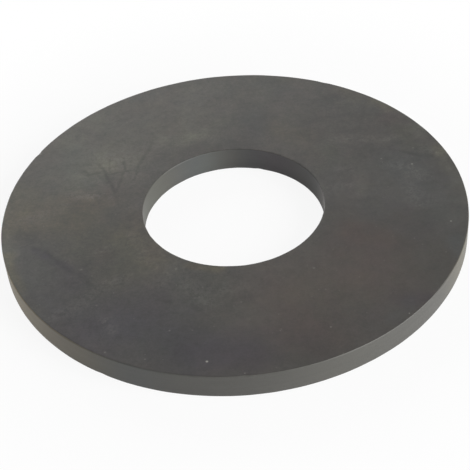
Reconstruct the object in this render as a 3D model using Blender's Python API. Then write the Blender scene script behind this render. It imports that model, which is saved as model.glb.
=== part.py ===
"""Flat rubber seal ring for the flush valve of a toilet cistern.

The ring is one piece, punched out of a flat sheet of black rubber: two flat moulded faces, a
straight cut wall round the outside, a straight cut wall round the hole, and four slightly softened
edges. It lies on its sealing face. The origin is the centre of that face, +Z is the ring's axis
and points up through the hole, and lengths are in metres.
"""

import math

import bmesh
import bpy

MM = 0.001

# Driving dimensions
OUTER_DIAMETER = 64.0 * MM
BORE_DIAMETER = 25.0 * MM
THICKNESS = 3.5 * MM
OUTER_EDGE_RADIUS = 0.15 * MM
BORE_EDGE_RADIUS = 0.15 * MM

# Fineness of the mesh
RING_SEGMENTS = 144
EDGE_SEGMENTS = 3
SMOOTH_UP_TO = math.radians(35.0)
SAME_POINT = 0.001 * MM

# Look of the rubber
RUBBER_COLOUR = (0.075, 0.073, 0.070, 1.0)
RUBBER_ROUGHNESS = 0.55


def clear_scene():
    for obj in list(bpy.data.objects):
        bpy.data.objects.remove(obj, do_unlink=True)


def rounded_corner(corner, inward, radius):
    """Points (radius, height) of a quarter round that softens one corner of the section.

    corner is the sharp corner and inward holds the signs that lead from it into the rubber. The
    points run from the flat face to the cut wall.
    """
    centre = (corner[0] + inward[0] * radius, corner[1] + inward[1] * radius)
    points = []
    for step in range(EDGE_SEGMENTS + 1):
        turn = math.radians(90.0) * step / EDGE_SEGMENTS
        points.append(
            (
                centre[0] - inward[0] * radius * math.sin(turn),
                centre[1] - inward[1] * radius * math.cos(turn),
            )
        )
    return points


def ring_section():
    """The closed section of the ring, as (radius, height) points taken once round it."""
    outer = OUTER_DIAMETER / 2
    bore = BORE_DIAMETER / 2
    wall_limit = THICKNESS / 2
    outer_round = min(OUTER_EDGE_RADIUS, wall_limit)
    bore_round = min(BORE_EDGE_RADIUS, wall_limit)

    top_outer = rounded_corner((outer, THICKNESS), (-1, -1), outer_round)
    bottom_outer = rounded_corner((outer, 0.0), (-1, 1), outer_round)
    bottom_bore = rounded_corner((bore, 0.0), (1, 1), bore_round)
    top_bore = rounded_corner((bore, THICKNESS), (1, -1), bore_round)
    return top_outer + bottom_outer[::-1] + bottom_bore + top_bore[::-1]


def turned_mesh(name, section):
    """A closed mesh made by spinning the section once round the Z axis."""
    bm = bmesh.new()
    verts = [bm.verts.new((radius, 0.0, height)) for radius, height in section]
    edges = [bm.edges.new((a, b)) for a, b in zip(verts, verts[1:] + verts[:1])]
    bmesh.ops.spin(
        bm,
        geom=verts + edges,
        cent=(0.0, 0.0, 0.0),
        axis=(0.0, 0.0, 1.0),
        angle=math.tau,
        steps=RING_SEGMENTS,
        use_merge=True,
    )
    bmesh.ops.remove_doubles(bm, verts=bm.verts, dist=SAME_POINT)
    bmesh.ops.recalc_face_normals(bm, faces=bm.faces)
    mesh = bpy.data.meshes.new(name)
    bm.to_mesh(mesh)
    bm.free()
    mesh.shade_smooth()
    mesh.set_sharp_from_angle(angle=SMOOTH_UP_TO)
    return mesh


def rubber_material():
    material = bpy.data.materials.new("black_rubber")
    material.use_nodes = True
    shader = material.node_tree.nodes["Principled BSDF"]
    shader.inputs["Base Color"].default_value = RUBBER_COLOUR
    shader.inputs["Roughness"].default_value = RUBBER_ROUGHNESS
    shader.inputs["Metallic"].default_value = 0.0
    return material


def make_seal_ring():
    ring = bpy.data.objects.new("seal_ring", turned_mesh("seal_ring", ring_section()))
    ring.data.materials.append(rubber_material())
    bpy.context.scene.collection.objects.link(ring)
    return ring


clear_scene()
make_seal_ring()
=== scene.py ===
"""Looks of a flush valve seal, a flat ring punched out of dark rubber sheet.

The ring is made again as a finer mesh than the solid that it stands for, with the shallow
undulation, creases, nicks and cut marks of the real rubber. Marks on its top face are given by the
pixel of the photograph (470 x 470) where they show, and are put on the ring through the camera.
Lengths are in metres, and in millimetres where a name ends in _MM or in a material.
"""

import math

import bpy
import numpy as np
from mathutils import Matrix, Vector, noise


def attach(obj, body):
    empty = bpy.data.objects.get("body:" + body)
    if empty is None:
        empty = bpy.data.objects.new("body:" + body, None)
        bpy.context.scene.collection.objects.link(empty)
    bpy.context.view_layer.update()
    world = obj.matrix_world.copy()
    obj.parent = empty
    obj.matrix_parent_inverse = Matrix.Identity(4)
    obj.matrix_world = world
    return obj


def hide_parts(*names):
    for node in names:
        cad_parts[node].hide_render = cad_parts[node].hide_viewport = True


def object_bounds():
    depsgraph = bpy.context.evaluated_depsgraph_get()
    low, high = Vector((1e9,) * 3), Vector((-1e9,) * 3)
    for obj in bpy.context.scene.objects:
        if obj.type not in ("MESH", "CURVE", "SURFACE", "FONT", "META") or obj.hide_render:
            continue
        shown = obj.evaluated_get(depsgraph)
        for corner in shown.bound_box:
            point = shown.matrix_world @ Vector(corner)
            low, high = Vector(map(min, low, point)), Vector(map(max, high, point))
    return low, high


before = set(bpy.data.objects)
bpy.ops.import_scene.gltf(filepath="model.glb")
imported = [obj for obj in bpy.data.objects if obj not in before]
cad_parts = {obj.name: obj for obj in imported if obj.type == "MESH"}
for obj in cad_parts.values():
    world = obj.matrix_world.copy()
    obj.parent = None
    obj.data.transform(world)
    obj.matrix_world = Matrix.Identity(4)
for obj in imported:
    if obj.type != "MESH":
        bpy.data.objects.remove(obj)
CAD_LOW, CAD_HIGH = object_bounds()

MM = 0.001

# Camera, as fitted to the ring's edges in the photograph
PHOTO_PIXELS = 470
SENSOR_MM = 36.0
LENS_MM = 93.29
CAMERA_ELEVATION = math.radians(40.866)
CAMERA_ROLL = math.radians(-4.754)
CAMERA_DISTANCE = 167.83 * MM
RING_RIGHT_OF_AXIS = -0.248 * MM
RING_ABOVE_AXIS = 4.243 * MM

# White floor, flat in the middle and rising to a rim all round. It is plain white where it is seen,
# but for a share of its own shading, which holds the ring's shadow. That share is full up to the first
# radius and gone at the second one. In reflections it matters inside the hole.
FLOOR_RADIUS = 3.0
FLOOR_FLAT_RADIUS = 1.2
FLOOR_RIM_HEIGHT = 0.9
FLOOR_TURNS = 96
FLOOR_RIM_STEPS = 12
FLOOR_COLOUR = (0.80, 0.80, 0.80, 1.0)
SEEN_SHADE = 0.10
SEEN_SHADE_RADII = (0.036, 0.065)
REFLECTED_SHADE = 0.42
REFLECTED_SHADE_RADII = (0.0125, 0.030)

# Lamps as (name, azimuth, elevation, distance, width, watts), aimed at the ring, with the azimuth
# turned from +X towards +Y, in degrees
WORLD_STRENGTH = 0.20
LAMPS = [
    ("right_softbox", -30.0, 25.0, 0.70, 0.50, 7.6),
    ("back_panel", 90.0, 14.0, 0.70, 0.40, 1.35),
    ("back_left_panel", 120.0, 14.0, 0.70, 0.40, 2.2),
    ("left_panel", 180.0, 14.0, 0.70, 0.40, 1.0),
]

# Ring mesh: steps round the ring, across its flat faces, down its walls and round each softened edge
ANGLE_STEPS = 640
TOP_STEPS = 58
UNDER_STEPS = 38
WALL_STEPS = 12
EDGE_STEPS = 4

# How many steps of a softened edge look like the flat face beside it. The rest look cut.
FACE_STEPS_OUTER = 1
FACE_STEPS_BORE = 2

# Places of the close rows of the mesh beside each softened edge
SUPPORT_ROWS_MM = (0.04, 0.14)

# Softened edges: their radius, and how far it wanders round the ring. The wander is a noise with
# features of this length, read along a circle of this radius.
EDGE_RADIUS_MM = 0.15
EDGE_WANDER_MM = 0.05
EDGE_WANDER_LENGTH_MM = 5.0
EDGE_WANDER_PATH_MM = 30.0

# Nicks in the edges: (edge, azimuth in degrees, how much rounder in mm, half length in mm). The
# first two show in the photograph.
TOP_OUTER, LOW_OUTER, LOW_BORE, TOP_BORE = range(4)
NICKS = [
    (TOP_OUTER, 151.0, 0.16, 0.70),
    (TOP_OUTER, 269.6, 0.18, 0.60),
    (TOP_OUTER, 61.0, 0.10, 0.90),
    (LOW_OUTER, 18.0, 0.14, 0.80),
    (LOW_OUTER, 112.0, 0.12, 0.60),
    (LOW_OUTER, 236.0, 0.10, 0.70),
    (LOW_BORE, 70.0, 0.10, 0.60),
    (LOW_BORE, 305.0, 0.12, 0.50),
    (TOP_BORE, 203.0, 0.08, 0.60),
]

# Relief of the flat faces
SWELL_DEPTH_MM = 0.030
SWELL_LENGTH_MM = 9.0
DIMPLE_DEPTH_MM = 0.006
DIMPLE_LENGTH_MM = 1.6
CREASE_DEPTH_MM = 0.006

# Relief of the cut walls: lines along the cut, and a slow wander. Beside each wall it reaches this
# share of the flat faces' width, and fades by this power.
CUT_DEPTH_MM = 0.018
CUT_LENGTH_MM = 7.0
CUT_PITCH_MM = 0.45
WALL_WANDER_MM = 0.026
WALL_WANDER_LENGTH_MM = 14.0
CUT_FADE_SHARE = 0.05
CUT_FADE_POWER = 20

# Places in the noise that the reliefs are taken from, so that no two are alike
TOP_SEED = 3.0
UNDERSIDE_SEED = 51.0
DIMPLE_SEED_STEP = 8.0
EDGE_SEEDS = (101.0, 113.0, 127.0, 139.0)
OUTER_WALL_SEED = 211.0
BORE_WALL_SEED = 307.0

# The rubber: colours, gloss, uneven tone, tint and grain
FACE_COLOUR = (0.0465, 0.0430, 0.0380)
CUT_COLOUR = (0.0720, 0.0700, 0.0630)
DUST_COLOUR = (0.32, 0.31, 0.28, 1.0)
FACE_ROUGHNESS = 0.52
CUT_ROUGHNESS = 0.50
BROAD_MOTTLE_LENGTH_MM = 14.0
BROAD_MOTTLE_CONTRAST = 0.74
FINE_MOTTLE_LENGTH_MM = 3.5
FINE_MOTTLE_CONTRAST = 1.86
TINT_LENGTH_MM = 10.0
TINT_CONTRAST = 0.20
GRAIN_LENGTH_MM = 0.28
GRAIN_CONTRAST = 0.35
GRAIN_DEPTH_MM = 0.004
GLOSS_CONTRAST = 0.25

# Marks of the top face reach down its softened edges: full to the first depth, gone at the second
TOP_MARKS_FULL_MM = 0.2
TOP_MARKS_GONE_MM = 0.8

# Fine look of the cut walls: how a noise is squeezed into lines along the cut, and a grain
CUT_LINE_SQUEEZE = (0.10, 0.10, 2.4)
CUT_LINE_CONTRAST = 0.25
CUT_GRAIN_LENGTH_MM = 0.20
CUT_GRAIN_CONTRAST = 0.25
CUT_GRAIN_SHARE = 0.5
CUT_RELIEF_MM = 0.010

# The fine mottling and the grain are stronger on one side of the ring than on the other. They are
# multiplied by these factors, the first one up to the first distance towards the calm side and the
# second one from the second distance on. The azimuth is in degrees.
CALM_AZIMUTH = 310.0
CALM_REACH_MM = (-12.0, 24.0)
CALM_FACTORS = (1.45, 0.60)

# Tints of stains, painted shade and painted sheen: what the rubber's colour is multiplied by where a
# mark is strongest
PALE = (1.49, 1.53, 1.42)
DARK = (0.58, 0.59, 0.62)
BEIGE = (1.45, 1.34, 1.02)
# Painted warm sheen, used at the left end of the outer wall
PAINTED_WARM_SHEEN = (2.05, 1.60, 0.70)
BROWN = (1.18, 0.99, 0.91)
REDDISH = (1.02, 0.82, 0.82)
SLATE = (0.74, 0.82, 0.94)
PURPLE = (0.76, 0.68, 0.92)
BLUISH = (0.98, 1.12, 1.24)
GREENISH = (1.06, 1.14, 1.00)
OLIVE = (0.98, 1.03, 0.84)
MINT = (1.00, 1.12, 1.07)
VIOLET = (1.12, 1.02, 1.22)
STAIN_WARP_MM = 4.0
STAIN_WARP_LENGTH_MM = 7.0

# Soft stains on the top face, and painted shade beside the back of the hole: (start pixel, end pixel,
# half width in mm, tint, strength)
TOP_STAINS_AND_PAINTED_SHADE = [
    # Pale bloom over the back and the left
    ((80, 165), (170, 110), 15.0, PALE, 0.60),
    ((106, 162), (124, 158), 6.0, PALE, 0.55),
    ((124, 168), (136, 172), 4.0, PALE, 0.45),
    ((200, 92), (300, 92), 8.0, PALE, 0.28),
    ((165, 142), (212, 138), 3.0, PALE, 0.45),
    ((64, 138), (100, 118), 4.0, PALE, 0.58),
    ((72, 148), (90, 180), 4.5, MINT, 0.60),
    ((96, 142), (116, 138), 4.0, PALE, 0.18),
    ((146, 132), (156, 130), 4.0, PALE, 0.12),
    ((134, 96), (148, 92), 3.0, BLUISH, 0.40),
    ((114, 104), (124, 100), 3.0, GREENISH, 0.30),
    ((112, 171), (118, 178), 2.2, PALE, 0.45),
    ((194, 136), (216, 122), 2.8, PALE, 0.45),
    ((262, 84), (320, 104), 4.0, SLATE, 0.20),
    ((22, 218), (75, 208), 6.5, BEIGE, 0.42),
    ((10, 230), (22, 190), 4.5, BEIGE, 0.28),
    ((10, 196), (14, 278), 2.4, PALE, 0.34),
    ((7, 228), (8, 262), 1.6, PALE, 0.60),
    ((8, 256), (20, 290), 1.5, BEIGE, 0.70),
    ((34, 232), (76, 232), 3.5, BEIGE, 0.26),
    ((84, 218), (122, 286), 8.0, OLIVE, 0.75),
    ((332, 137), (396, 140), 1.8, PALE, 0.35),
    ((374, 100), (392, 108), 2.0, BEIGE, 0.50),
    ((386, 106), (396, 110), 2.6, PALE, 0.44),
    ((416, 128), (440, 147), 2.4, PALE, 0.75),
    ((424, 149), (446, 148), 2.6, PALE, 0.70),
    ((434, 148), (438, 156), 1.6, BEIGE, 0.40),
    ((404, 132), (412, 146), 2.5, OLIVE, 0.55),
    ((442, 152), (464, 200), 1.6, PALE, 0.72),
    ((444, 200), (456, 216), 2.5, PALE, 0.18),
    ((340, 88), (352, 93), 3.0, BEIGE, 0.18),
    ((357, 172), (357, 190), 2.0, PALE, 0.35),
    # Brown and beige stains left of the hole
    ((75, 198), (112, 197), 3.0, BROWN, 0.45),
    ((88, 210), (116, 220), 4.5, DARK, 0.26),
    ((124, 206), (134, 196), 3.5, BEIGE, 0.16),
    ((136, 192), (146, 170), 2.5, DARK, 0.12),
    ((128, 232), (152, 262), 5.5, BEIGE, 0.45),
    ((138, 222), (155, 260), 3.5, BROWN, 0.34),
    ((152, 240), (160, 250), 2.2, PALE, 0.20),
    ((26, 300), (36, 308), 1.8, BEIGE, 0.26),
    ((68, 222), (76, 228), 3.0, BROWN, 0.20),
    ((103, 250), (106, 254), 2.2, REDDISH, 0.40),
    # Slate and purple front left
    ((26, 252), (55, 298), 8.0, SLATE, 0.45),
    ((14, 236), (31, 236), 1.8, SLATE, 0.36),
    ((36, 249), (48, 254), 1.1, PURPLE, 0.85),
    ((48, 254), (66, 268), 1.1, PURPLE, 0.60),
    ((66, 268), (78, 284), 2.6, PURPLE, 0.40),
    ((80, 335), (150, 305), 9.0, PURPLE, 0.60),
    ((115, 322), (180, 346), 8.0, SLATE, 0.60),
    ((190, 352), (250, 352), 6.0, PURPLE, 0.75),
    ((265, 348), (310, 350), 5.5, DARK, 0.40),
    ((172, 286), (216, 298), 7.0, GREENISH, 0.35),
    ((190, 264), (216, 267), 1.4, BEIGE, 0.75),
    ((200, 266), (218, 267), 1.6, PALE, 0.45),
    ((163, 262), (170, 266), 1.6, BLUISH, 0.30),
    ((172, 347), (184, 347), 2.6, PALE, 0.18),
    # Brown front right
    ((302, 290), (365, 275), 10.5, BROWN, 0.65),
    ((352, 232), (382, 234), 3.0, BROWN, 0.50),
    ((295, 325), (330, 338), 6.0, REDDISH, 0.42),
    ((336, 247), (348, 247), 2.5, DARK, 0.16),
    ((364, 232), (378, 228), 3.0, DARK, 0.16),
    ((358, 264), (370, 268), 3.0, DARK, 0.16),
    ((376, 313), (392, 306), 3.0, DARK, 0.16),
    ((345, 238), (390, 246), 4.5, REDDISH, 0.42),
    ((405, 255), (432, 290), 8.0, DARK, 0.25),
    ((405, 300), (425, 297), 3.0, PURPLE, 0.50),
    ((335, 222), (402, 226), 7.0, DARK, 0.32),
    ((372, 208), (402, 210), 4.0, DARK, 0.25),
    ((388, 162), (396, 192), 3.0, DARK, 0.28),
    # Bluish right
    ((408, 165), (448, 212), 8.0, BLUISH, 0.55),
    ((335, 185), (372, 200), 6.0, BLUISH, 0.25),
    ((457, 240), (461, 254), 1.8, BLUISH, 0.80),
    ((395, 318), (412, 304), 2.0, BLUISH, 0.50),
    # Painted shade beside the back of the hole, and smudges behind it
    ((185, 149), (256, 145), 2.0, DARK, 0.38),
    ((252, 115), (258, 135), 3.2, SLATE, 0.50),
    ((248, 118), (252, 127), 1.0, DARK, 0.35),
    ((275, 128), (300, 136), 5.0, BEIGE, 0.25),
    ((318, 102), (327, 96), 1.8, DARK, 0.40),
    ((306, 121), (317, 119), 1.4, DARK, 0.50),
    ((388, 118), (394, 120), 3.0, REDDISH, 0.35),
    ((328, 148), (334, 153), 2.6, GREENISH, 0.40),
]

# Stains on the cut walls, with painted warm sheen at both ends of the outer wall, where it is seen at a
# glancing angle, and painted shade on the hole's wall where it faces away from the right-hand lamp:
# (wall, azimuth in degrees, half width in mm, tint, strength)
OUTER_WALL, BORE_WALL = range(2)
WALL_STAINS_AND_PAINTED_LIGHT = [
    # Painted warm sheen at the left end of the outer wall, where it is seen at a glancing angle
    (OUTER_WALL, 204.0, 14.0, PAINTED_WARM_SHEEN, 0.80),
    (OUTER_WALL, 228.0, 10.0, PAINTED_WARM_SHEEN, 0.30),
    (OUTER_WALL, 242.0, 8.0, BLUISH, 0.25),
    (OUTER_WALL, 242.0, 8.0, SLATE, 0.22),
    (OUTER_WALL, 264.0, 10.0, DARK, 0.09),
    (OUTER_WALL, 293.0, 10.0, PALE, 0.15),
    (OUTER_WALL, 308.0, 7.0, DARK, 0.10),
    # Painted warm sheen at the right end of the outer wall, where it is seen at a glancing angle
    (OUTER_WALL, 336.0, 9.0, BEIGE, 0.60),
    (BORE_WALL, 3.0, 3.0, DARK, 0.20),
    (BORE_WALL, 5.0, 3.0, BROWN, 0.70),
    # Painted shade on the hole's wall where it faces away from the right-hand lamp
    (BORE_WALL, 20.0, 7.0, DARK, 0.75),
    (BORE_WALL, 52.0, 7.0, VIOLET, 0.50),
    (BORE_WALL, 58.0, 6.0, PALE, 0.14),
    (BORE_WALL, 60.0, 6.0, PURPLE, 0.35),
    (BORE_WALL, 77.0, 4.0, SLATE, 0.45),
    (BORE_WALL, 104.0, 3.5, PALE, 0.22),
    (BORE_WALL, 112.0, 6.0, BLUISH, 0.65),
    (BORE_WALL, 155.0, 8.0, GREENISH, 0.50),
    (BORE_WALL, 176.0, 4.0, PALE, 0.12),
]

# Specks of dust on the top face: (pixel, radius in mm, strength)
SPECKS = [
    ((206.9, 361.4), 0.24, 0.95),
    ((104.9, 352.2), 0.24, 0.22),
    ((145.0, 359.2), 0.20, 0.18),
    ((145.0, 354.4), 0.12, 0.15),
    ((169.5, 330.5), 0.20, 0.20),
    ((105.3, 320.9), 0.24, 0.14),
    ((96.5, 305.3), 0.24, 0.12),
    ((176.0, 268.7), 0.28, 0.16),
    ((81.2, 269.6), 0.28, 0.15),
    ((116.0, 279.3), 0.26, 0.11),
    ((65.5, 261.0), 0.18, 0.12),
    ((91.9, 275.8), 0.25, 0.08),
    ((39.6, 304.8), 0.15, 0.15),
    ((103.0, 283.4), 0.25, 0.10),
    ((199.3, 296.9), 0.22, 0.12),
    ((202.6, 287.0), 0.22, 0.12),
    ((314.0, 267.7), 0.28, 0.16),
    ((330.9, 326.8), 0.18, 0.30),
    ((281.5, 329.0), 0.14, 0.15),
    ((366.7, 312.7), 0.14, 0.14),
    ((336.8, 270.4), 0.12, 0.10),
    ((412.0, 163.8), 0.26, 0.42),
    ((451.0, 220.9), 0.22, 0.48),
    ((381.3, 158.4), 0.20, 0.26),
    ((413.0, 147.7), 0.20, 0.18),
    ((436.3, 152.1), 0.28, 0.14),
    ((41.0, 154.0), 0.20, 0.45),
    ((127.0, 122.0), 0.22, 0.16),
    ((107.0, 151.0), 0.25, 0.14),
    ((77.0, 197.0), 0.28, 0.14),
    ((87.4, 198.2), 0.20, 0.12),
    ((98.6, 195.8), 0.20, 0.12),
    ((244.9, 373.1), 0.16, 0.28),
    ((409.4, 313.2), 0.15, 0.55),
]

# Fine dust all over: one spot or none in each cell of this size
DUST_CELL_MM = 0.9
DUST_SPOT_MM = 0.16
DUST_RARITY = 0.72
DUST_STRENGTH = 0.16

# How dark the painted shade along a crease is, how far a crease strays, and how it is broken up: from
# one value of a noise to another, its strength rises from one share to another
CREASE_PAINTED_SHADE = 0.52
CREASE_BUMP = 0.5
CREASE_WARP_MM = 0.50
CREASE_WARP_LENGTH_MM = 1.5
CREASE_BREAK_LENGTH_MM = 0.9
CREASE_BREAK_NOISE = (0.30, 0.60)
CREASE_BREAK_SHARES = (0.45, 1.0)

# Creases in the top face, grooved into the mesh and darkened with painted shade: (start pixel, end
# pixel, half width in mm, strength)
CREASES = [
    ((98, 163), (105, 174), 0.50, 1.0),
    ((105, 174), (115, 192), 0.58, 1.0),
    ((115, 192), (118, 204), 0.45, 0.6),
    ((124, 158), (125, 171), 0.38, 1.0),
    ((124, 171), (117, 191), 0.45, 0.9),
    ((105, 175), (128, 171), 0.35, 0.9),
    ((128, 171), (138, 169), 0.35, 0.5),
    ((110, 160), (110, 173), 0.38, 0.7),
    ((82, 171), (88, 175), 0.80, 0.9),
    ((88, 176), (99, 173), 0.60, 0.9),
    ((145, 155), (139, 166), 0.50, 0.7),
    ((139, 166), (134, 180), 0.45, 0.8),
    ((153, 143), (145, 155), 0.50, 0.7),
    ((34, 249), (46, 252), 0.60, 0.9),
    ((46, 252), (64, 267), 0.60, 0.9),
    ((66, 268), (82, 278), 1.10, 0.5),
    ((64, 282), (76, 289), 0.90, 0.5),
    ((18, 234), (31, 236), 1.60, 0.7),
    ((395, 151), (432, 156), 0.60, 0.6),
    ((160, 299), (170, 302), 0.70, 0.5),
    ((193, 304), (199, 310), 0.60, 0.4),
    ((88, 283), (92, 286), 0.60, 0.7),
]

# Pale flecks and fine lines of a scuffed patch. A fleck grows between two values of a noise, and a
# line lies where another noise is within the width of its middle value.
FLECK_LENGTH_MM = 0.55
FLECK_NOISE = (0.46, 0.66)
VEIN_LENGTH_MM = 1.7
VEIN_WIDTH = 0.045
VEIN_STRENGTH = 0.8

# Scuffed patches of the top face: (start pixel, end pixel, half width in mm, strength)
SCUFFS = [
    # In the bloom at the back left
    ((99, 156), (124, 160), 3.2, 0.09),
    ((82, 176), (97, 184), 2.3, 0.07),
    ((128, 150), (152, 151), 2.2, 0.05),
    ((126, 164), (136, 182), 2.0, 0.06),
    # Left
    ((72, 196), (106, 196), 1.6, 0.12),
    ((56, 211), (66, 205), 1.3, 0.08),
    ((24, 220), (45, 216), 2.0, 0.07),
    ((130, 238), (150, 262), 2.6, 0.05),
    ((99, 252), (106, 249), 1.3, 0.08),
    # Trail at the front left
    ((50, 317), (84, 302), 2.0, 0.06),
    ((84, 302), (104, 284), 2.0, 0.06),
    ((104, 284), (126, 278), 1.8, 0.08),
    ((104, 320), (113, 331), 1.4, 0.07),
    # Front of the hole
    ((162, 283), (168, 273), 1.8, 0.06),
    ((186, 284), (206, 302), 2.4, 0.06),
    ((214, 290), (236, 288), 2.4, 0.05),
    # Right
    ((336, 140), (396, 138), 1.3, 0.06),
    ((386, 164), (398, 166), 1.6, 0.05),
    ((336, 169), (352, 169), 1.3, 0.05),
    ((338, 186), (348, 186), 1.5, 0.06),
    ((404, 166), (421, 176), 2.2, 0.09),
    ((408, 184), (432, 200), 3.4, 0.04),
    ((407, 186), (418, 204), 1.8, 0.07),
    ((424, 150), (440, 153), 1.7, 0.06),
]


def camera_axes():
    """The camera's right, up and back directions."""
    back = Vector((0.0, -math.cos(CAMERA_ELEVATION), math.sin(CAMERA_ELEVATION)))
    level_right = Vector((1.0, 0.0, 0.0))
    level_up = back.cross(level_right)
    right = math.cos(CAMERA_ROLL) * level_right + math.sin(CAMERA_ROLL) * level_up
    up = math.cos(CAMERA_ROLL) * level_up - math.sin(CAMERA_ROLL) * level_right
    return right, up, back


def camera_place():
    right, up, back = camera_axes()
    top_centre = Vector((0.0, 0.0, CAD_HIGH.z))
    return top_centre + CAMERA_DISTANCE * back - RING_RIGHT_OF_AXIS * right - RING_ABOVE_AXIS * up


def on_top_face(pixel):
    """The point (x, y) of the ring's top face, in millimetres, that the photograph shows there."""
    right, up, back = camera_axes()
    pixels_per_unit = LENS_MM / SENSOR_MM * PHOTO_PIXELS
    across = (pixel[0] - PHOTO_PIXELS / 2) / pixels_per_unit
    above = (PHOTO_PIXELS / 2 - pixel[1]) / pixels_per_unit
    ray = across * right + above * up - back
    start = camera_place()
    reach = (CAD_HIGH.z - start.z) / ray.z
    point = start + reach * ray
    return Vector((point.x / MM, point.y / MM))


def outer_radius():
    """The ring's outer radius, from the solid's box, in millimetres."""
    return CAD_HIGH.x / MM


def bore_radius():
    """The hole's radius, from the solid that the ring stands for, in millimetres."""
    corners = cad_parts["seal_ring"].data.vertices
    return min(math.hypot(v.co.x, v.co.y) for v in corners) / MM


def add_object(name, data):
    made = bpy.data.objects.new(name, data)
    bpy.context.scene.collection.objects.link(made)
    return made


def add_camera():
    data = bpy.data.cameras.new("camera")
    data.sensor_width = SENSOR_MM
    data.lens = LENS_MM
    data.clip_start = 0.01
    camera = add_object("camera", data)
    right, up, back = camera_axes()
    turn = Matrix((right, up, back)).transposed().to_4x4()
    camera.matrix_world = Matrix.Translation(camera_place()) @ turn
    bpy.context.scene.camera = camera


def add_lamp(name, azimuth, elevation, distance, width, watts):
    data = bpy.data.lights.new(name, "AREA")
    data.shape = "SQUARE"
    data.size = width
    data.energy = watts
    lamp = add_object(name, data)
    a = math.radians(azimuth)
    e = math.radians(elevation)
    out = Vector((math.cos(a) * math.cos(e), math.sin(a) * math.cos(e), math.sin(e)))
    lamp.location = out * distance
    lamp.rotation_mode = "QUATERNION"
    lamp.rotation_quaternion = out.to_track_quat("Z", "Y")


class Graph:
    """Adds shader nodes to a node tree, so that a formula in a material reads in order."""

    def __init__(self, tree):
        self.tree = tree
        tree.nodes.clear()

    def node(self, kind, inputs=(), **settings):
        """A node with these settings. An input is a socket's name or number, and what feeds it."""
        made = self.tree.nodes.new(kind)
        for name, value in settings.items():
            setattr(made, name, value)
        for socket, value in inputs:
            self.feed(made.inputs[socket], value)
        return made

    def feed(self, socket, value):
        if isinstance(value, bpy.types.NodeSocket):
            self.tree.links.new(value, socket)
        else:
            socket.default_value = value

    def maths(self, operation, *values):
        return self.node("ShaderNodeMath", enumerate(values), operation=operation).outputs[0]

    def vector(self, operation, *values):
        made = self.node("ShaderNodeVectorMath", enumerate(values), operation=operation)
        return made.outputs["Value" if operation in ("DOT_PRODUCT", "DISTANCE") else 0]

    def scaled(self, vector, factor):
        inputs = ((0, vector), ("Scale", factor))
        return self.node("ShaderNodeVectorMath", inputs, operation="SCALE").outputs[0]

    def noise(self, place, length, octaves, roughness=0.5, output="Fac"):
        """Noise whose largest features have this length. Its values are 0.5 on average."""
        inputs = (
            ("Vector", place),
            ("Scale", 1.0 / length),
            ("Detail", octaves - 1.0),
            ("Roughness", roughness),
        )
        return self.node("ShaderNodeTexNoise", inputs).outputs[output]

    def around_one(self, value, contrast):
        """A noise value turned into a factor that is 1 on average."""
        return self.maths("MULTIPLY_ADD", value, contrast, 1.0 - contrast / 2)

    def swing(self, value, contrast, factor):
        """How far a noise value is above or below 0.5, times contrast and factor."""
        spread = self.maths("MULTIPLY_ADD", value, contrast, -contrast / 2)
        return self.maths("MULTIPLY", spread, factor)

    def ramp(self, value, start, end, low=0.0, high=1.0):
        """low where value is at start, high where it is at end, with a smooth rise between."""
        inputs = (
            ("Value", value),
            ("From Min", start),
            ("From Max", end),
            ("To Min", low),
            ("To Max", high),
        )
        return self.node("ShaderNodeMapRange", inputs, interpolation_type="SMOOTHSTEP").outputs[0]

    def blend(self, factor, first, second):
        made = self.node("ShaderNodeMix", data_type="RGBA")
        self.feed(made.inputs[0], factor)
        self.feed(made.inputs[6], first)
        self.feed(made.inputs[7], second)
        return made.outputs[2]


def new_material(name):
    material = bpy.data.materials.new(name)
    material.use_nodes = True
    return material, Graph(material.node_tree)


def place_in_mm(graph):
    """The point of the ring that is being shaded, in millimetres."""
    place = graph.node("ShaderNodeTexCoord").outputs["Object"]
    return graph.scaled(place, 1.0 / MM)


def moved_about(graph, place, reach, length):
    """The place shifted at random by up to about half of reach, so that marks get broken outlines."""
    shift = graph.noise(place, length, 3, 0.6, "Color")
    centred = graph.vector("SUBTRACT", shift, (0.5, 0.5, 0.5))
    return graph.vector("ADD", place, graph.scaled(centred, reach))


def line_mask(graph, flat, start, end, half_width, strength):
    """strength on the line from start to end, falling to 0 at half_width from it."""
    run = (end - start).to_3d()
    away = graph.vector("SUBTRACT", flat, tuple(start.to_3d()))
    along = graph.vector("DOT_PRODUCT", away, tuple(run / run.length_squared))
    clamped = graph.node("ShaderNodeClamp", ((0, along),)).outputs[0]
    nearest = graph.scaled(tuple(run), clamped)
    gap = graph.vector("DISTANCE", away, nearest)
    return graph.ramp(gap, half_width, 0.0, 0.0, strength)


def spot_mask(graph, place, centre, radius, strength):
    gap = graph.vector("DISTANCE", place, tuple(centre.to_3d()))
    return graph.ramp(gap, radius, 0.0, 0.0, strength)


def tinted(graph, colour, mask, tint):
    """The colour times the tint where the mask is 1, and unchanged where it is 0."""
    change = graph.scaled(tuple(part - 1.0 for part in tint), mask)
    return graph.vector("MULTIPLY_ADD", colour, change, colour)


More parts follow.
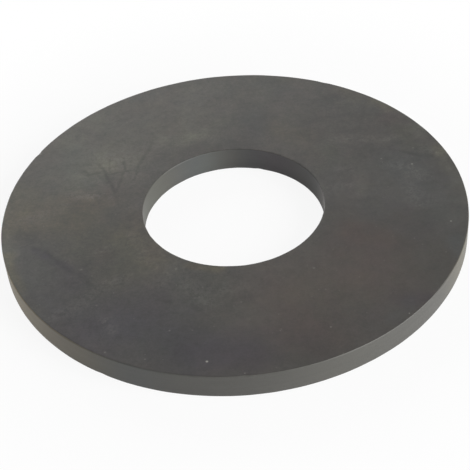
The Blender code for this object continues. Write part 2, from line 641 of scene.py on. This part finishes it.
def mottled(graph, place, colour):
    """The colour with uneven tone at every scale, faint tints and fine grain. Tone and grain follow."""
    a = math.radians(CALM_AZIMUTH)
    across = graph.vector("DOT_PRODUCT", place, (math.cos(a), math.sin(a), 0.0))
    liveliness = graph.ramp(across, *CALM_REACH_MM, *CALM_FACTORS)
    broad = graph.around_one(graph.noise(place, BROAD_MOTTLE_LENGTH_MM, 2, 1.0), BROAD_MOTTLE_CONTRAST)
    fine = graph.noise(place, FINE_MOTTLE_LENGTH_MM, 5, 1.0)
    tone = graph.maths("ADD", broad, graph.swing(fine, FINE_MOTTLE_CONTRAST, liveliness))
    grain = graph.noise(place, GRAIN_LENGTH_MM, 2, 0.8)
    grain_shade = graph.maths("ADD", graph.swing(grain, GRAIN_CONTRAST, liveliness), 1.0)
    shade = graph.maths("MULTIPLY", tone, grain_shade)
    tints = graph.noise(place, TINT_LENGTH_MM, 4, 0.9, "Color")
    evened = graph.vector("MULTIPLY_ADD", tints, (TINT_CONTRAST,) * 3, (1.0 - TINT_CONTRAST / 2,) * 3)
    return graph.scaled(graph.vector("MULTIPLY", evened, colour), shade), tone, grain


def fine_dust(graph, place):
    """How much fine dust lies at a place, in scattered small spots."""
    cells = graph.node("ShaderNodeTexVoronoi", (("Vector", place), ("Scale", 1.0 / DUST_CELL_MM)))
    spot = graph.ramp(cells.outputs["Distance"], DUST_SPOT_MM / DUST_CELL_MM, 0.0, 0.0, DUST_STRENGTH)
    lot = graph.vector("DOT_PRODUCT", cells.outputs["Color"], (1.0, 0.0, 0.0))
    return graph.maths("MULTIPLY", spot, graph.ramp(lot, DUST_RARITY, 1.0))


def flecks_and_veins(graph, place):
    """Small pale flecks and a loose net of fine lines, as where rubber is scuffed."""
    flecks = graph.ramp(graph.noise(place, FLECK_LENGTH_MM, 3, 0.7), *FLECK_NOISE)
    centred = graph.maths("SUBTRACT", graph.noise(place, VEIN_LENGTH_MM, 3, 0.6), 0.5)
    veins = graph.ramp(graph.maths("ABSOLUTE", centred), VEIN_WIDTH, 0.0, 0.0, VEIN_STRENGTH)
    return graph.maths("MAXIMUM", flecks, veins)


def strongest_line(graph, flat, lines):
    """The strongest mask of some lines, given as (start pixel, end pixel, half width, strength)."""
    total = 0.0
    for start, end, half_width, strength in lines:
        mask = line_mask(graph, flat, on_top_face(start), on_top_face(end), half_width, strength)
        total = graph.maths("MAXIMUM", mask, total)
    return total


def strongest_spot(graph, flat, spots):
    """The strongest mask of some spots, given as (pixel, radius, strength)."""
    total = 0.0
    for pixel, radius, strength in spots:
        mask = spot_mask(graph, flat, on_top_face(pixel), radius, strength)
        total = graph.maths("MAXIMUM", mask, total)
    return total


def finish_rubber(graph, colour, roughness, relief, relief_depth):
    """The shader, with a fine relief of the given depth in metres under it."""
    bump_inputs = (
        ("Height", relief),
        ("Distance", relief_depth),
        ("Strength", 1.0),
    )
    bump = graph.node("ShaderNodeBump", bump_inputs)
    inputs = (
        ("Base Color", colour),
        ("Roughness", roughness),
        ("Normal", bump.outputs[0]),
        ("Metallic", 0.0),
    )
    shader = graph.node("ShaderNodeBsdfPrincipled", inputs)
    output = graph.node("ShaderNodeOutputMaterial")
    graph.feed(output.inputs["Surface"], shader.outputs[0])


def moulded_face_material():
    """The ring's flat faces and softened edges: dull rubber with stains, creases with painted shade in
    them, painted shade beside the hole, dust and grain.
    """
    material, graph = new_material("moulded_face")
    place = place_in_mm(graph)
    flat = graph.vector("MULTIPLY", place, (1.0, 1.0, 0.0))
    height = graph.vector("DOT_PRODUCT", place, (0.0, 0.0, 1.0))
    level = CAD_HIGH.z / MM
    on_top = graph.ramp(height, level - TOP_MARKS_GONE_MM, level - TOP_MARKS_FULL_MM)

    plain, tone, grain = mottled(graph, place, FACE_COLOUR)
    stain_place = moved_about(graph, flat, STAIN_WARP_MM, STAIN_WARP_LENGTH_MM)
    colour = plain
    # Stains, and the painted shade beside the back of the hole
    for start, end, half_width, tint, strength in TOP_STAINS_AND_PAINTED_SHADE:
        mask = line_mask(graph, stain_place, on_top_face(start), on_top_face(end), half_width, strength)
        colour = tinted(graph, colour, mask, tint)

    crease_place = moved_about(graph, flat, CREASE_WARP_MM, CREASE_WARP_LENGTH_MM)
    break_noise = graph.noise(place, CREASE_BREAK_LENGTH_MM, 2)
    breaks = graph.ramp(break_noise, *CREASE_BREAK_NOISE, *CREASE_BREAK_SHARES)
    creases = graph.maths("MULTIPLY", strongest_line(graph, crease_place, CREASES), breaks)
    # Painted shade along the creases: the colour is darkened there
    colour = tinted(graph, colour, creases, (CREASE_PAINTED_SHADE,) * 3)
    colour = graph.blend(on_top, plain, colour)

    scuffs = strongest_line(graph, crease_place, SCUFFS)
    rubbed = graph.maths("MULTIPLY", scuffs, flecks_and_veins(graph, place))
    specks = strongest_spot(graph, flat, SPECKS)
    top_marks = graph.maths("MULTIPLY", graph.maths("MAXIMUM", rubbed, specks), on_top)
    dust = graph.maths("MAXIMUM", top_marks, fine_dust(graph, place))
    colour = graph.blend(dust, colour, DUST_COLOUR)

    roughness = graph.maths("MULTIPLY", graph.around_one(tone, GLOSS_CONTRAST), FACE_ROUGHNESS)
    relief = graph.maths("SUBTRACT", grain, graph.maths("MULTIPLY", creases, CREASE_BUMP))
    finish_rubber(graph, colour, roughness, relief, GRAIN_DEPTH_MM * MM)
    return material


def cut_wall_material():
    """The punched walls: the same rubber, a little greyer, with fine lines along the cut."""
    material, graph = new_material("cut_wall")
    place = place_in_mm(graph)
    flat = graph.vector("MULTIPLY", place, (1.0, 1.0, 0.0))
    lines = graph.noise(graph.vector("MULTIPLY", place, CUT_LINE_SQUEEZE), 1.0, 5, 0.6)
    grain = graph.noise(place, CUT_GRAIN_LENGTH_MM, 4, 0.6)
    line_shade = graph.around_one(lines, CUT_LINE_CONTRAST)
    grain_shade = graph.around_one(grain, CUT_GRAIN_CONTRAST)
    colour = graph.scaled(CUT_COLOUR, graph.maths("MULTIPLY", line_shade, grain_shade))
    radii = {OUTER_WALL: outer_radius(), BORE_WALL: bore_radius()}
    # Stains, painted sheen and painted shade on the walls, each round a point of its wall
    for wall, azimuth, half_width, tint, strength in WALL_STAINS_AND_PAINTED_LIGHT:
        a = math.radians(azimuth)
        centre = radii[wall] * Vector((math.cos(a), math.sin(a)))
        colour = tinted(graph, colour, spot_mask(graph, flat, centre, half_width, strength), tint)
    relief = graph.maths("ADD", lines, graph.maths("MULTIPLY", grain, CUT_GRAIN_SHARE))
    finish_rubber(graph, colour, CUT_ROUGHNESS, relief, CUT_RELIEF_MM * MM)
    return material


def floor_mesh():
    """A round floor, flat in the middle, whose outer part curves up to its rim."""
    rising = np.linspace(FLOOR_FLAT_RADIUS, FLOOR_RADIUS, FLOOR_RIM_STEPS + 1)[1:]
    rows = [FLOOR_FLAT_RADIUS / 2, FLOOR_FLAT_RADIUS, *rising]
    verts = [(0.0, 0.0, 0.0)]
    for radius in rows:
        rise = max(radius - FLOOR_FLAT_RADIUS, 0.0) / (FLOOR_RADIUS - FLOOR_FLAT_RADIUS)
        for turn in range(FLOOR_TURNS):
            a = math.tau * turn / FLOOR_TURNS
            verts.append((radius * math.cos(a), radius * math.sin(a), FLOOR_RIM_HEIGHT * rise**2))
    faces = [(0, 1 + turn, 1 + (turn + 1) % FLOOR_TURNS) for turn in range(FLOOR_TURNS)]
    for row in range(len(rows) - 1):
        here = 1 + row * FLOOR_TURNS
        there = here + FLOOR_TURNS
        for turn in range(FLOOR_TURNS):
            after = (turn + 1) % FLOOR_TURNS
            faces.append((here + turn, there + turn, there + after, here + after))
    mesh = bpy.data.meshes.new("floor")
    mesh.from_pydata(verts, [], faces)
    mesh.shade_smooth()
    return mesh


def add_floor():
    """The white floor, with the ring's shadow faint where it is seen and stronger in reflections."""
    floor = add_object("floor", floor_mesh())
    material, graph = new_material("white_floor")
    diffuse = graph.node("ShaderNodeBsdfDiffuse", (("Color", FLOOR_COLOUR),)).outputs[0]
    glow_inputs = (("Color", (1.0, 1.0, 1.0, 1.0)), ("Strength", 1.0))
    glow = graph.node("ShaderNodeEmission", glow_inputs).outputs[0]
    place = graph.node("ShaderNodeTexCoord").outputs["Object"]
    from_ring = graph.vector("DISTANCE", place, (0.0, 0.0, 0.0))
    seen_white = graph.ramp(from_ring, *SEEN_SHADE_RADII, 1.0 - SEEN_SHADE, 1.0)
    reflected_white = graph.ramp(from_ring, *REFLECTED_SHADE_RADII, 1.0 - REFLECTED_SHADE, 1.0)
    path = graph.node("ShaderNodeLightPath")
    seen = graph.maths("MAXIMUM", path.outputs["Is Camera Ray"], path.outputs["Is Transmission Ray"])
    white = graph.maths(
        "MAXIMUM",
        graph.maths("MULTIPLY", seen, seen_white),
        graph.maths("MULTIPLY", path.outputs["Is Glossy Ray"], reflected_white),
    )
    both = graph.node("ShaderNodeMixShader", ((0, white), (1, diffuse), (2, glow)))
    output = graph.node("ShaderNodeOutputMaterial")
    graph.feed(output.inputs["Surface"], both.outputs[0])
    floor.data.materials.append(material)


def add_world():
    world = bpy.data.worlds.new("studio")
    world.use_nodes = True
    sky = world.node_tree.nodes["Background"]
    sky.inputs["Color"].default_value = (1.0, 1.0, 1.0, 1.0)
    sky.inputs["Strength"].default_value = WORLD_STRENGTH
    bpy.context.scene.world = world


def rough(x, y, z, length, octaves=3):
    """Smooth noise between about -1 and 1, with features of the given length."""
    return noise.fractal(Vector((x, y, z)) / length, 0.8, 2.0, octaves)


def steps_between(start, end, count):
    """Places from start up to, but not including, end, with close rows beside both ends."""
    sign = 1.0 if end > start else -1.0
    near = [start + sign * row for row in SUPPORT_ROWS_MM]
    far = [end - sign * row for row in reversed(SUPPORT_ROWS_MM)]
    inner = np.linspace(near[-1], far[0], count + 1)[1:-1]
    return [start, *near, *inner, *far]


def quarter_round(centre, radius, turn):
    """Points of a softened edge, from the given angle on through a quarter turn, last one left out."""
    angles = [math.radians(turn - 90.0 * step / EDGE_STEPS) for step in range(EDGE_STEPS)]
    return [(centre[0] + radius * math.cos(a), centre[1] + radius * math.sin(a)) for a in angles]


def section(outer, bore, thickness, edges):
    """The ring's section in millimetres as (radius, height, looks cut), from the top's inner end on.

    It runs outwards over the top, down the outer wall and back. edges holds the radii of the
    softened edges, in the order of the NICKS' edges. The last entry is true where the stretch that
    starts at the point looks like a cut wall.
    """
    top_outer, low_outer, low_bore, top_bore = edges
    cut_outer = EDGE_STEPS - FACE_STEPS_OUTER
    cut_bore = EDGE_STEPS - FACE_STEPS_BORE
    top = [(r, thickness) for r in steps_between(bore + top_bore, outer - top_outer, TOP_STEPS)]
    edge_a = quarter_round((outer - top_outer, thickness - top_outer), top_outer, 90.0)
    outer_wall = [(outer, z) for z in steps_between(thickness - top_outer, low_outer, WALL_STEPS)]
    edge_b = quarter_round((outer - low_outer, low_outer), low_outer, 0.0)
    under = [(r, 0.0) for r in steps_between(outer - low_outer, bore + low_bore, UNDER_STEPS)]
    edge_c = quarter_round((bore + low_bore, low_bore), low_bore, -90.0)
    bore_wall = [(bore, z) for z in steps_between(low_bore, thickness - top_bore, WALL_STEPS)]
    edge_d = quarter_round((bore + top_bore, thickness - top_bore), top_bore, 180.0)
    stretches = (
        (top + edge_a[:FACE_STEPS_OUTER], False),
        (edge_a[FACE_STEPS_OUTER:] + outer_wall + edge_b[:cut_outer], True),
        (edge_b[cut_outer:] + under + edge_c[:FACE_STEPS_BORE], False),
        (edge_c[FACE_STEPS_BORE:] + bore_wall + edge_d[:cut_bore], True),
        (edge_d[cut_bore:], False),
    )
    return [(*point, cut) for points, cut in stretches for point in points]


def crease_lines():
    """The creases as (start, end, half width, strength) on the top face, in millimetres."""
    return [
        (on_top_face(start), on_top_face(end), half_width, strength)
        for start, end, half_width, strength in CREASES
    ]


def crease_depth(point, creases):
    """How deep the creases are at a point of the top face, in shares of a full crease."""
    deepest = 0.0
    for start, end, half_width, strength in creases:
        run = end - start
        share = min(max((point - start).dot(run) / run.length_squared, 0.0), 1.0)
        gap = (point - start - share * run).length
        if gap < half_width:
            deepest = max(deepest, strength * (1.0 - (gap / half_width) ** 2))
    return deepest


def face_depth(x, y, seed):
    """How far a flat face lies inside the highest plane, in millimetres. seed tells the faces apart."""
    swell = 0.5 + 0.5 * rough(x, y, seed, SWELL_LENGTH_MM)
    dimple = 0.5 + 0.5 * rough(x, y, seed + DIMPLE_SEED_STEP, DIMPLE_LENGTH_MM)
    return max(SWELL_DEPTH_MM * swell + DIMPLE_DEPTH_MM * dimple, 0.0)


def cut_depth(x, y, z, seed):
    """How far a cut wall lies inside its full radius, in millimetres, with lines along the cut."""
    wander = 0.5 + 0.5 * rough(x, y, seed, WALL_WANDER_LENGTH_MM, 2)
    place = Vector((x / CUT_LENGTH_MM, y / CUT_LENGTH_MM, z / CUT_PITCH_MM + seed))
    lines = 0.5 + 0.5 * noise.fractal(place, 0.7, 2.0, 3)
    return max(WALL_WANDER_MM * wander + CUT_DEPTH_MM * lines, 0.0)


def edge_radii(angle, outer, bore):
    """The four softened edges' radii at this place round the ring, in millimetres."""
    x = math.cos(angle) * EDGE_WANDER_PATH_MM
    y = math.sin(angle) * EDGE_WANDER_PATH_MM
    wander = [rough(x, y, seed, EDGE_WANDER_LENGTH_MM) for seed in EDGE_SEEDS]
    radii = [EDGE_RADIUS_MM + EDGE_WANDER_MM * w for w in wander]
    for edge, azimuth, extra, half_length in NICKS:
        rim = outer if edge in (TOP_OUTER, LOW_OUTER) else bore
        turned = math.remainder(angle - math.radians(azimuth), math.tau)
        share = abs(turned) * rim / half_length
        radii[edge] += extra * max(1.0 - share**2, 0.0)
    return radii


def ring_sections():
    """The ring's sections, one for each step round it, as lists of (x, y, z, looks cut)."""
    outer = outer_radius()
    thickness = CAD_HIGH.z / MM
    bore = bore_radius()
    creases = crease_lines()
    sections = []
    for step in range(ANGLE_STEPS):
        angle = math.tau * step / ANGLE_STEPS
        c, s = math.cos(angle), math.sin(angle)
        points = []
        edges = edge_radii(angle, outer, bore)
        for radius, height, cut in section(outer, bore, thickness, edges):
            share_out = (radius - bore) / (outer - bore)
            share_up = height / thickness
            x, y = radius * c, radius * s
            if share_out > 1.0 - CUT_FADE_SHARE:
                fade = share_out**CUT_FADE_POWER
                radius -= cut_depth(x, y, height, OUTER_WALL_SEED) * fade
            elif share_out < CUT_FADE_SHARE:
                fade = (1.0 - share_out) ** CUT_FADE_POWER
                radius += cut_depth(x, y, height, BORE_WALL_SEED) * fade
            if share_up > 0.0:
                crease = CREASE_DEPTH_MM * crease_depth(Vector((x, y)), creases)
                height -= (face_depth(x, y, TOP_SEED) + crease) * share_up
            if share_up < 1.0:
                height += face_depth(x, y, UNDERSIDE_SEED) * (1.0 - share_up)
            points.append((radius * c, radius * s, height, cut))
        sections.append(points)
    return sections


def add_ring():
    sections = ring_sections()
    count = len(sections[0])
    faces = []
    for step in range(ANGLE_STEPS):
        here = step * count
        there = (step + 1) % ANGLE_STEPS * count
        for i in range(count):
            j = (i + 1) % count
            faces.append((here + i, here + j, there + j, there + i))
    mesh = bpy.data.meshes.new("rubber_ring")
    verts = [(x * MM, y * MM, z * MM) for points in sections for x, y, z, _ in points]
    mesh.from_pydata(verts, [], faces)
    mesh.materials.append(moulded_face_material())
    mesh.materials.append(cut_wall_material())
    cut = [int(point[3]) for points in sections for point in points]
    mesh.polygons.foreach_set("material_index", cut)
    mesh.shade_smooth()
    mesh.update()
    ring = add_object("rubber_ring", mesh)
    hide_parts("seal_ring")
    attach(ring, "root")


bpy.context.scene.view_settings.view_transform = "Standard"
add_camera()
add_floor()
add_world()
for lamp in LAMPS:
    add_lamp(*lamp)
add_ring()
